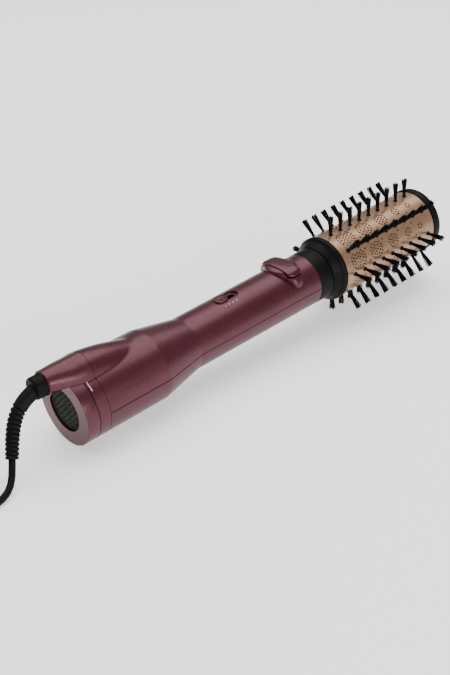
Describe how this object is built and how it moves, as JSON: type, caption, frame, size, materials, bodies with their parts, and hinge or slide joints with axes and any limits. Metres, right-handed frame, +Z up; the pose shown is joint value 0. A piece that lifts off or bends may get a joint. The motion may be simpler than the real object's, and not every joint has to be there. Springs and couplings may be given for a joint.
{
  "type": "hot air brush",
  "caption": "Corded rotating hot air brush: tapered handle with slide and rocker switches, perforated barrel with rows of bristle tufts, rear intake and swivel cord",
  "frame": {"origin": "centre of the bottom of the tool's box as it lies on a flat surface on its back rim and its lowest bristle row, without the cord", "axes": "+X from the intake towards the tip of the brush, +Y to the left of the handle, +Z up through the switches; the tool's own axis rises towards the tip by 3.4 degrees"},
  "size_m": [0.5038, 0.1264, 0.0872],
  "materials": {
    "burgundy": "satin pearl",
    "intake_face": "satin pearl",
    "black_plastic": "matte",
    "cord_rubber": "matte",
    "bristle_nylon": "satin",
    "rose_gold": "satin anodised",
    "steel": "plain",
    "mica": "matte",
    "heater_wire": "plain",
    "board": "satin",
    "white_plastic": "satin",
    "brass": "bright"
  },
  "bodies": {
    "handle": {"upper_shell": "burgundy", "lower_shell": "burgundy", "rear_cap": "burgundy", "cap_screw_1": "steel", "cap_screw_2": "steel", "cap_screw_3": "steel", "cap_screw_4": "steel", "fan_motor": "steel", "motor_mount": "black_plastic", "circuit_board": "board", "slide_switch": "black_plastic", "rocker_switch": "black_plastic", "rocker_bezel": "burgundy", "rocker_pin": "steel", "heater_tube": "mica", "heater_frame": "mica", "heater_coil": "heater_wire", "thermostat": "steel", "gear_motor": "steel", "gearbox": "black_plastic", "gear_bracket": "steel", "front_collar": "black_plastic", "shaft_bush": "brass", "cord": "cord_rubber", "cord_coil": "cord_rubber", "cord_tie": "black_plastic", "cord_lead": "cord_rubber", "plug_body": "black_plastic", "plug_pin_1": "brass", "plug_pin_2": "brass"},
    "filter": {"filter_ring": "intake_face", "intake_grille": "black_plastic", "grille_clip": "black_plastic"},
    "fan": {"impeller": "black_plastic", "fan_shaft": "steel"},
    "speed_switch": {"switch_knob": "burgundy", "switch_slider": "white_plastic"},
    "rocker": {"rocker_button": "burgundy"},
    "cord_swivel": {"cord_swivel": "black_plastic", "swivel_clip": "steel", "strain_relief": "cord_rubber"},
    "brush_head": {"head_base": "black_plastic", "barrel": "rose_gold", "end_cap": "black_plastic", "drive_shaft": "steel", "bristle_row_1": "bristle_nylon", "bristle_row_2": "bristle_nylon", "bristle_row_3": "bristle_nylon", "bristle_row_4": "bristle_nylon", "bristle_row_5": "bristle_nylon", "bristle_row_6": "bristle_nylon", "bristle_row_7": "bristle_nylon", "bristle_row_8": "bristle_nylon"}
  },
  "joints": [
    {"name": "brush_spin", "type": "hinge", "parent": "handle", "child": "brush_head", "pos_m": [0.06766, 0, 0.04024], "axis": [0.9982, 0, 0.0599], "continuous": true},
    {"name": "fan_spin", "type": "hinge", "parent": "handle", "child": "fan", "pos_m": [-0.13218, 0, 0.02825], "axis": [0.9982, 0, 0.0599], "continuous": true},
    {"name": "speed_slide", "type": "slide", "parent": "handle", "child": "speed_switch", "axis": [0.9982, 0, 0.0599], "range_m": [0, 0.009]},
    {"name": "rocker_tilt", "type": "hinge", "parent": "handle", "child": "rocker", "pos_m": [0.03188, 0, 0.05713], "axis": [0.9982, 0, 0.0599], "range_deg": [-4, 4], "stiffness_Nm_per_rad": 0.15},
    {"name": "filter_pull", "type": "slide", "parent": "handle", "child": "filter", "axis": [-0.9982, 0, -0.0599], "range_m": [0, 0.014]},
    {"name": "swivel_turn", "type": "hinge", "parent": "handle", "child": "cord_swivel", "pos_m": [-0.18231, 0, 0.0523], "axis": [0.9982, 0, 0.0599], "range_deg": [-90, 90]}
  ]
}
